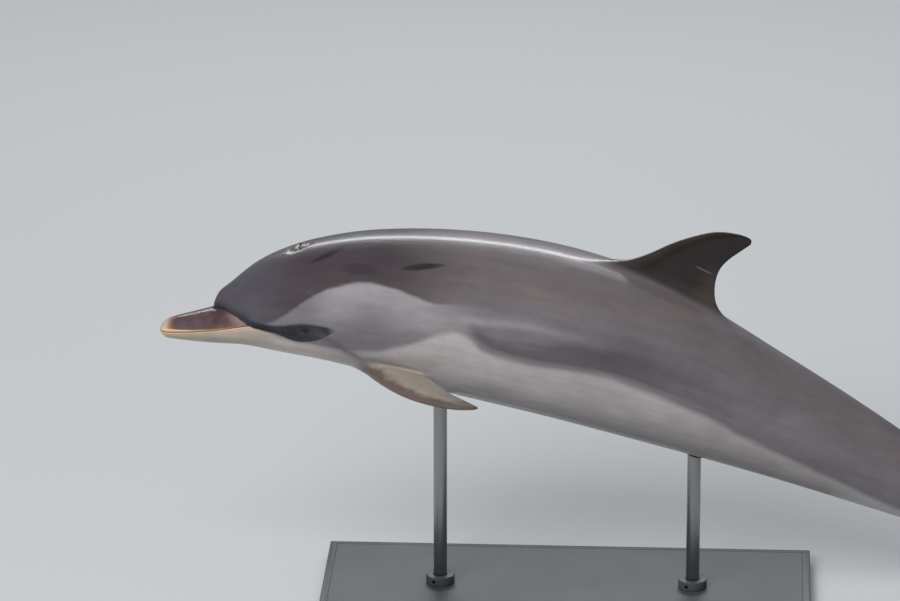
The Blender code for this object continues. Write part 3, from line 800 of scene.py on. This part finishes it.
def bodyLayers(where, cloud, streaks, mottle, fibre):
    x, y, z = where.split()
    wander = (cloud + streaks) * 0.016
    cape, belly, line = (x.curve(body["length"], -0.25, 0.25, skinPaint[name])
                         for name in ("capeEdge", "bellyEdge", "darkLine"))
    overCape = z - cape + wander * 0.8
    overBelly = z - belly + wander

    # flank with its pale shoulder, a pale streak that is partly a painted highlight along the wet flank, and
    # dark streaks
    blaze = x.within(0.36, 0.44, 0.62, 0.8) * overCape.fade(-0.11, -0.03)
    yield blaze * 0.85, "blaze"
    # a pale marking, painted also as the highlight that runs along the wet flank
    paleStreakAndHighlight = x.within(0.68, 0.74, 0.92, 1.1) * (z + wander * 0.5 - 0.008 - x * 0.058).near(0, 0.014)
    yield paleStreakAndHighlight * 0.7, "blaze"
    upperDark = x.within(0.86, 0.96, 1.15, 1.45) * (z + wander - 0.072).near(0, 0.03)
    yield upperDark * 0.5, "streak"
    overLine = z + wander * 0.6 - line
    darkLine = overLine.fade(-0.012, 0) * (overLine - x.fade(0.84, 1) * 0.03).fade(0.034, 0.004)
    yield darkLine * x.within(0.725, 0.765, 1.1, 1.45) * 0.9, "streak"

    # belly and throat below, cape above
    yield overBelly.fade(0.008, -0.012), "belly"
    yield overBelly.fade(0.004, -0.02) * x.fade(0.48, 0.34), "throat"
    sharp = (overCape + fibre * 0.006).fade(-0.005, 0.005)
    capeMask = sharp + (overCape.fade(-0.034, 0.034) - sharp) * x.fade(0.6, 0.8)
    dark = x.fade(0.52, 0.8).mix("cape", "capeRear")
    yield capeMask, x.fade(0.4, 0.2).mix(dark, "melon")
    # painted reflections of sunlight: soft tan patches on the back
    for place, height, length, lean in skinPaint["sunGlints"]:
        away, over = (x - place) / length, (z - height + (x - place) * lean) / (length * 0.22)
        glint = (away * away + over * over + mottle * 2.8 + fibre * 1.5).fade(1.2, -0.2)
        yield glint * (fibre + 0.5).fade(0.25, 0.75) * 0.3, "glintTan"
    for place, height, length, width, lean, strength in skinPaint["smudges"]:
        away, over = (x - place) / length, (z - height + (x - place) * lean) / width + fibre * 1.6
        mark = (away * away + over * over + mottle * 0.8).fade(1.1, 0.1)
        yield mark * y.fade(0, -0.02) * strength, "smudge"


def headLayers(where, features, cloud, streaks, mottle):
    x, y, z = where.split()
    overMouth, pastCrease, outsideLid = features.split()
    wander = (cloud + streaks) * 0.006

    # beak: brown above, paler towards the crease, cream lips and tip, pale jaw
    onBeak = pastCrease.fade(0.002, -0.003) * x.fade(0.26, 0.235)
    upper = (overMouth - x.curve(0.3, 0, 0.01, skinPaint["upperLip"])).fade(-0.0014, 0.0014)
    onTop = onBeak * upper
    yield overMouth.fade(0.002, -0.002) * x.fade(0.3, 0.24), "jaw"
    yield onBeak * overMouth.fade(-0.002, 0.0005), "beak"
    yield onTop * (pastCrease + wander).fade(-0.018, -0.003) * x.fade(0.15, 0.2) * 0.7, "beakRear"
    yield onTop * (overMouth + wander + mottle * 0.012).fade(0.018, 0.006) * 0.26, "blush"
    yield onTop * (mottle + 0.5).fade(0.38, 0.66) * x.fade(0.02, 0.06) * 0.3, "beakDusk"
    lips = (overMouth + wander * 0.4).fade(-0.012, -0.008) * (1 - upper) * x.fade(0.27, 0.2)
    yield lips * 0.95, "lip"
    yield (x + wander + mottle * 0.01).near(0.032, 0.009) * upper * 0.45, "blush"
    yield (x + wander * 1.5 + mottle * 0.012).fade(0.036, 0.014), "tip"

    # the dark band along the crease, painted shade in the furrow, on to the eye's own dark patch, painted
    # darker with shade
    under = x.curve(0.5, -0.05, 0.06, skinPaint["bandTop"]) - z + wander
    over = z + wander * 0.5 - x.curve(0.5, -0.05, 0.06, skinPaint["bandFoot"])
    patch = under.fade(-0.004, 0.005) * over.fade(-0.0015, 0.0025) * x.within(0.18, 0.2, 0.405, 0.435)
    # painted shade along the forehead's crease
    crease = pastCrease.fade(-0.0015, 0.0015) * (pastCrease + wander).fade(0.024, 0.003)
    crease = crease * overMouth.fade(0, 0.003) * x.fade(0.235, 0.205)
    dark = (mottle + cloud * 0.8 + 0.5).fade(0.3, 0.85).mix("stripeAndShade", "stripeAndShadeMottle")
    yield crease * 0.95, dark
    yield patch * 0.97, dark
    stripe = (z + wander + 0.026 + (x - 0.41) * 0.75).near(0, 0.016) * x.within(0.36, 0.41, 0.46, 0.52)
    yield stripe * 0.65, "streak"
    # painted shade along the mouth's groove, near-black where it runs into the dark band
    line = overMouth.near(0, 0.0011) * x.fade(0.304, 0.29)
    yield line * 0.92, x.fade(0.21, 0.23).mix("mouth", "stripeAndShade")

    # lids, blowhole and ear
    yield outsideLid.near(0.0006, 0.001) * 0.5, "melon"
    ahead = x - forms["blowhole"] - 0.004 + y * y * forms["blowCurve"]
    crown = z.fade(0.1, 0.13)
    yield (y / 0.022).near(0, 1) * (ahead + wander).near(-0.006, 0.012) * crown * 0.8, "blowhole"
    # painted shade in the blowhole's slit
    yield y.size().fade(0.021, 0.017) * ahead.near(0.001, 0.0022) * crown, "stripeAndShade"
    # painted shade in the ear's pit
    earX, earZ = x - forms["ear"][0], z - forms["ear"][1]
    yield (earX * earX + earZ * earZ).fade(0.0018**2, 0.0006**2) * 0.7, "stripeAndShade"


def finLayers(where, fin, cloud, streaks, mottle):
    x, y, z = where.split()
    rooted, behind, reached = fin.split()
    wander = (cloud + streaks) * 0.5
    root = rooted + wander * 0.3

    # dorsal fin, worn along its edges, with one scratch
    shade = (z - 0.196 + wander * 0.02).fade(-0.004, 0.03).mix("finRoot", "fin")
    worn = (behind + mottle * 0.3).fade(0.66, 0.95) * reached.fade(0.62, 0.3) * 0.6
    worn = worn + behind.fade(0.16, 0.02) * 0.35
    shade = (worn * (0.7 + wander)).mix(shade, "finWorn")
    scratch = (z + (x - 1.2) * 0.12 - 0.259).near(0, 0.0011) * x.within(1.176, 1.186, 1.21, 1.222)
    shade = (scratch * y.fade(0, -0.002) * 0.6).mix(shade, "scar")
    yield x.within(0.7, 0.9, 1.6, 1.8) * root.fade(0.15, 0.75), shade

    # flippers, darker at the front edge and the tip, and flukes, pale below
    edge = (behind + wander * 0.2 + mottle * 0.45).fade(0.34, 0)
    edge = edge + (reached + mottle * 0.4).fade(0.64, 0.96) * 0.8
    edge = (edge + (mottle * 1.2 + 0.5).fade(0.62, 0.95) * 0.35).least(0.85)
    yield x.fade(0.95, 0.9) * root.fade(0.1, 0.8), edge.mix("flipper", "flipperEdge")
    fluke = (z + wander * 0.01).fade(-0.01, 0.006).mix("flukeUnder", "finRoot")
    rim = (rooted.fade(0.5, 1) * (behind.fade(0.1, 0.02) + behind.fade(0.9, 0.98))).least(1)
    yield x.fade(1.98, 2.12), (rim * 0.6).mix(fluke, "fin")


def rake(where, cloud, side, place, height, length, lean, lines):
    # the fine parallel scars that other dolphins' teeth leave
    x, y, z = where.split()
    x, z, gap = x - place, z - height, skinPaint["rakeGap"]
    along = x * cos(lean) + z * sin(lean)
    across = z * cos(lean) - x * sin(lean) + along * along * 0.6
    within = across.size().fade(gap * (lines / 2 + 0.05), gap * (lines / 2 - 0.05))
    line = (across / gap + lines / 2).maths("FRACT", across / gap + lines / 2) - 0.5
    ends = along.size().fade(length * 0.5, length * 0.2) * (y * side).fade(0, 0.02)
    return line.size().fade(0.13, 0.03) * within * ends * (cloud + 0.5).fade(0.25, 0.55) * 0.3


def skinWires(start):
    where, fin, features = (start.node("Attribute", {"attribute_name": name}, {}, "Vector")
                            for name in ("straight", "fin", "features"))
    cloud = where.noise(7, 2)
    streaks = where.noise(9, 3, 0.55, (1, 4, 7))
    grain = where.noise(220, 4, 0.6)
    fine = where.noise(60, 3, 0.6, (0.35, 1, 1))
    mottle = where.noise(26, 4, 0.62)
    fibre = where.noise(34, 3, 0.6, (0.25, 1, 1.6))
    colour = "flank"
    for layers in (bodyLayers(where, cloud, streaks, mottle, fibre),
                   headLayers(where, features, cloud, streaks, mottle),
                   finLayers(where, fin, cloud, streaks, mottle),
                   ((rake(where, cloud, *mark), "scar") for mark in skinPaint["rakes"])):
        for mask, tint in layers:
            colour = mask.mix(colour, tint)
    value = 1 + (cloud + streaks) * 0.34 + mottle * 0.24 + fibre * 0.16 + (fine + grain) * 0.12
    rough = 0.35 + cloud * 0.14 + fibre * 0.12 + fine * 0.16 + grain * 0.08
    height = grain * 0.12 + fine * 0.5 + fibre * 0.7 + streaks * 1.6
    return {"Base Color": start.node("VectorMath", {"operation": "SCALE"}, {0: colour, "Scale": value}),
            "Roughness": rough.maths("MAXIMUM", rough, 0.285),
            "Coat Weight": 0.32 + cloud * 0.3 + fine * 0.2, "Normal": height.bumped(0.0012, 0.35)}


skin.data.materials.append(newMaterial("wet grey skin", {"Coat Roughness": 0.15, "IOR": 1.36}, skinWires))
print("skin: painted")


# Eyes

eyeLook = dict(
    white=shown(27, 20, 19),
    iris=shown(44, 27, 18),
    irisDark=shown(12, 8, 7),
    pupil=(0.001, 0.001, 0.001, 1),
    irisReach=0.56,  # share of the ball's radius
    cornea=0.0007,
)


def eyeWires(start):
    look = start.node("Attribute", {"attribute_name": "look"}, {}, "Vector")
    u, v, _ = look.split()
    r = (u * u + v * v).maths("SQRT", u * u + v * v)
    turn = u.maths("ARCTAN2", u, v)
    rays = start.node("CombineXYZ", {}, {0: turn * 5, 1: r * 1.5}).noise(2.2, 3, 0.6)
    veins = look.noise(9, 4, 0.65)
    low = v + u * u * 0.5  # the pupil droops at both ends
    pupil = (u * u / 4.41 + low * low).fade(0.0175, 0.012)
    dark, reach = eyeLook["irisDark"], eyeLook["irisReach"]
    iris = (0.45 + rays * 1.3).fade(0.1, 0.9).mix(dark, eyeLook["iris"])
    iris = r.fade(reach * 0.62, reach).mix(iris, dark)
    colour = r.fade(reach + 0.03, reach - 0.03).mix((veins + 0.5).mix(dark, eyeLook["white"]), iris)
    return {"Base Color": pupil.mix(colour, eyeLook["pupil"]), "Roughness": 0.1 + veins * 0.05}


def makeEye(side, name, node):
    centre, forward, up, out = eyeFrame(side)
    ball = startPiece("uv_sphere", segments=64, ring_count=40, radius=1)
    look = vertexPlaces(ball.data)
    attribute(ball.data, "look", look)
    away = np.degrees(np.arccos(np.clip(look[:, 2], -1, 1)))
    reach = eyes["radius"] + eyeLook["cornea"] * bump(away, 20)
    setPlaces(ball.data, pose(centre + (look * reach[:, None]) @ np.stack([forward, up, out])))
    finishPiece(ball, name, node, eyeMaterial)


eyeMaterial = newMaterial("wet dark eye", {"Coat Weight": 0.6, "Coat Roughness": 0.02, "IOR": 1.34}, eyeWires)
makeEye(1, "eyeball_right", "eye_right")
makeEye(-1, "eyeball_left", "eye_left")
print("eyes: set")


# Stand

stand = dict(
    coat=shown(52, 54, 57),
    worn=shown(66, 68, 71),
    steel=shown(176, 177, 176),
    steelDark=shown(150, 151, 151),
    screw=shown(34, 34, 36),
    rubber=shown(22, 22, 23),
    edge=0.003,
    border=0.014,  # width of the base's plain rim outside its groove
    groove=(0.0024, 0.0012),  # width and depth
    rodEdge=0.0008,
    collarEdge=0.0024,
    lip=0.001,  # width and depth of the step round the rod
    gap=0.0007, gapDepth=0.004,
    slope=0.0002,  # the gap's wall leans by this
    screwRadius=0.0042, screwLong=0.004, screwEdge=0.0005,
    screwDeep=0.004,  # from the collar's side to the middle of its screw
    holeDepth=0.02, holeOut=0.006,  # the screw hole's cutter: length, and its middle past the side
    socket=(0.00231, 0.005, 0.003),  # radius, length and place along the screw of its six-sided cutter
    screwTurn=radians(-25),
    grommet=(0.0185, 0.0034),  # radius of the ring and of its section
    grommetLow=0.001,
)


def paintWires(start):
    place = start.node("TexCoord", {}, {}, "Object")
    grit, dust = place.noise(700, 2), place.noise(5, 5, 0.65)
    specks = place.noise(240, 1).fade(0.24, 0.32)
    colour = (dust + 0.5).fade(0.3, 0.75).mix(stand["coat"], stand["worn"])
    return {"Base Color": (specks * 0.3).mix(colour, stand["worn"]),
            "Roughness": 0.44 + dust * 0.16 + grit * 0.1, "Normal": grit.bumped(0.0002, 0.35)}


def steelWires(start):
    place = start.node("TexCoord", {}, {}, "Object")
    lines, smears = place.noise(90, 3, 0.6, (16, 16, 0.5)), place.noise(9, 3, 0.6)
    return {"Base Color": (lines * 0.8 + 0.5).fade(0.1, 0.9).mix(stand["steelDark"], stand["steel"]),
            "Roughness": 0.37 + lines * 0.16 + smears * 0.06, "Normal": lines.bumped(0.0001, 0.3)}


def grained(dark, light, scale, rough, spread, height):
    # a fine grain between two of the stand's tints
    def wires(start):
        grain = start.node("TexCoord", {}, {}, "Object").noise(scale, 3, 0.6)
        return {"Base Color": (grain + 0.5).fade(0.2, 0.9).mix(stand[dark], stand[light]),
                "Roughness": rough + grain * spread, "Normal": grain.bumped(0.0002, height)}

    return wires


def roundEdges(width, segments):
    # rounds every sharp edge of the active piece
    with editing("EDGE", "DESELECT"):
        bpy.ops.mesh.edges_select_sharp(sharpness=radians(40))
        bpy.ops.mesh.bevel(offset=width, segments=segments, affect="EDGES")


def insetTop(piece, *steps):
    # insets of (width, depth), one in the other, in the flat top
    height = vertexPlaces(piece.data)[:, 2]
    chooseFaces(piece.data, height > height.max() - 1e-4)
    with editing("FACE"):
        for width, depth in steps:
            bpy.ops.mesh.inset(thickness=width, depth=depth)


def startRound(node, vertices):
    # an upright cylinder in the node's box
    low, high = map(np.array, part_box(node))
    middle, radius = Vector((low + high) / 2), (high[0] - low[0]) / 2
    piece = startPiece("cylinder", vertices=vertices, radius=radius, depth=high[2] - low[2], location=middle)
    return piece, middle, radius


def makeBase():
    low, high = map(np.array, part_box("stand_base"))
    base = startPiece("cube", size=1, location=(low + high) / 2, scale=high - low)
    roundEdges(stand["edge"], 4)
    width, depth = stand["groove"]
    insetTop(base, (stand["border"], 0), (width / 4, -depth), (width / 2, 0), (width / 4, depth))
    finishPiece(base, "display_base", "stand_base", paint)


def makeRod(place):
    rod, middle, radius = startRound("stand_rod_" + place, 96)
    roundEdges(stand["rodEdge"], 2)
    finishPiece(rod, "rod_" + place, "stand_rod_" + place, steel)
    return middle.x, radius


def makeCollar(place, rodRadius):
    collar, middle, radius = startRound("stand_collar_" + place, 128)
    roundEdges(stand["collarEdge"], 4)
    lip, gap, turn, screwRadius = (stand[name] for name in ("lip", "gap", "screwTurn", "screwRadius"))
    rim = radius - stand["collarEdge"] - rodRadius - gap
    insetTop(collar, (rim - lip, 0), (lip, -lip), (stand["slope"], -stand["gapDepth"]))
    outward = Vector((sin(turn), -cos(turn), 0))

    def startPin(sides, pinRadius, depth, away):
        # a cylinder that lies along the collar's radius
        return startPiece("cylinder", vertices=sides, radius=pinRadius, depth=depth,
                          location=middle + outward * away, rotation=(pi / 2, 0, turn))

    cutAway(collar, startPin(40, screwRadius + gap / 2, stand["holeDepth"], radius + stand["holeOut"]))
    finishPiece(collar, "collar_" + place, "stand_collar_" + place, paint)
    screwAt = radius - stand["screwDeep"]
    screw = startPin(40, screwRadius, stand["screwLong"], screwAt)
    roundEdges(stand["screwEdge"], 2)
    cutAway(screw, startPin(6, *stand["socket"][:2], screwAt + stand["socket"][2]))
    finishPiece(screw, "grub_screw_" + place, None, darkSteel)


def cutAway(piece, cutter):
    activate(piece)
    cut = piece.modifiers.new("cut", "BOOLEAN")
    cut.operation, cut.solver, cut.object = "DIFFERENCE", "EXACT", cutter
    bpy.ops.object.modifier_apply(modifier="cut")
    bpy.data.objects.remove(cutter)


def makeGrommet(place, rodX):
    # a soft ring where the rod enters, leaning with the belly
    belly = pose(bodyPoint(np.linspace(0.3, 2, 1701), -pi / 2))
    at = int(np.argmin(np.abs(belly[:, 0] - rodX)))
    rise = (belly[at + 1, 2] - belly[at - 1, 2]) / (belly[at + 1, 0] - belly[at - 1, 0])
    major, minor = stand["grommet"]
    ring = startPiece("torus", major_radius=major, minor_radius=minor, major_segments=72, minor_segments=18)
    places = vertexPlaces(ring.data)
    places[:, 2] += places[:, 0] * rise
    setPlaces(ring.data, places + np.array([rodX, 0, belly[at, 2] - stand["grommetLow"]]))
    finishPiece(ring, "grommet_" + place, None, rubber)


paint = newMaterial("powder coat", {}, paintWires)
steel = newMaterial("brushed rod", {"Metallic": 1}, steelWires)
screwLook = grained("screw", "worn", 420, 0.42, 0.25, 0)
darkSteel = newMaterial("blackened screw", {"Metallic": 1}, screwLook)
rubber = newMaterial("soft ring", {}, grained("rubber", "coat", 500, 0.62, 0.2, 0.4))
makeBase()
for place in ("front", "rear"):
    rodX, rodRadius = makeRod(place)
    makeCollar(place, rodRadius)
    makeGrommet(place, rodX)
print("stand: finished")


# Floor, light and camera

studio = dict(
    floor=shown(176, 178, 180),
    floorSize=160,
    floorGap=0.0004,  # under the base's flat underside
    sky=(0.88, 0.92, 0.97, 1),
    skyStrength=0.32,
    # place, size, power and colour of each lamp, and whether the gloss shows it
    lamps=dict(
        key=((-4.5, -8, 8.5), (7, 7), 1750, (1, 0.98, 0.95), False),
        crest=((0, 5.6, 4.6), (7, 0.8), 230, (0.95, 0.98, 1), True),
        catch=((-3.4, -4, 3), (0.16, 0.16), 1.6, (1, 1, 1), True),
    ),
    aim=Vector((0, 0, 0.5)),
)
view = dict(
    azimuth=radians(3), elevation=radians(19.5), distance=14,
    right=0.682, up=0.065,  # from the snout's tip to the middle of the view
    lens=238, sensor=36, farthest=200,
)


def makeFloor():
    floor = startPiece("plane", size=studio["floorSize"], location=(0, 0, -studio["floorGap"]))
    floor.name = "studio_floor"
    look = {"Base Color": studio["floor"], "Roughness": 0.6}
    floor.data.materials.append(newMaterial("pale floor", look, lambda start: {}))


def makeLights():
    for name, (place, (wide, deep), power, colour, glossy) in studio["lamps"].items():
        lamp = bpy.data.lights.new(name, "AREA")
        lamp.shape = "RECTANGLE"
        lamp.size, lamp.size_y = wide, deep
        lamp.energy = power
        lamp.color = colour
        holder = bpy.data.objects.new(name, lamp)
        holder.location = place
        holder.visible_glossy = glossy
        holder.rotation_euler = (studio["aim"] - Vector(place)).to_track_quat("-Z", "Y").to_euler()
        bpy.context.scene.collection.objects.link(holder)
    world = bpy.data.worlds.new("studio")
    world.use_nodes = True
    sky = world.node_tree.nodes["Background"]
    sky.inputs["Color"].default_value = studio["sky"]
    sky.inputs["Strength"].default_value = studio["skyStrength"]
    bpy.context.scene.world = world


def makeCamera():
    turn, lift = view["azimuth"], view["elevation"]
    right = Vector((cos(turn), sin(turn), 0))
    back = Vector((sin(turn) * cos(lift), -cos(turn) * cos(lift), sin(lift)))
    up = back.cross(right)
    place = posture["snout"] + right * view["right"] + up * view["up"] + back * view["distance"]
    camera = bpy.data.cameras.new("camera")
    camera.lens, camera.sensor_width = view["lens"], view["sensor"]
    camera.clip_end = view["farthest"]
    holder = bpy.data.objects.new("camera", camera)
    holder.matrix_world = Matrix.Translation(place) @ Matrix((right, up, back)).transposed().to_4x4()
    bpy.context.scene.collection.objects.link(holder)
    bpy.context.scene.camera = holder


makeFloor()
makeLights()
makeCamera()
bpy.context.scene.view_settings.view_transform = "Standard"
print("studio: lit")
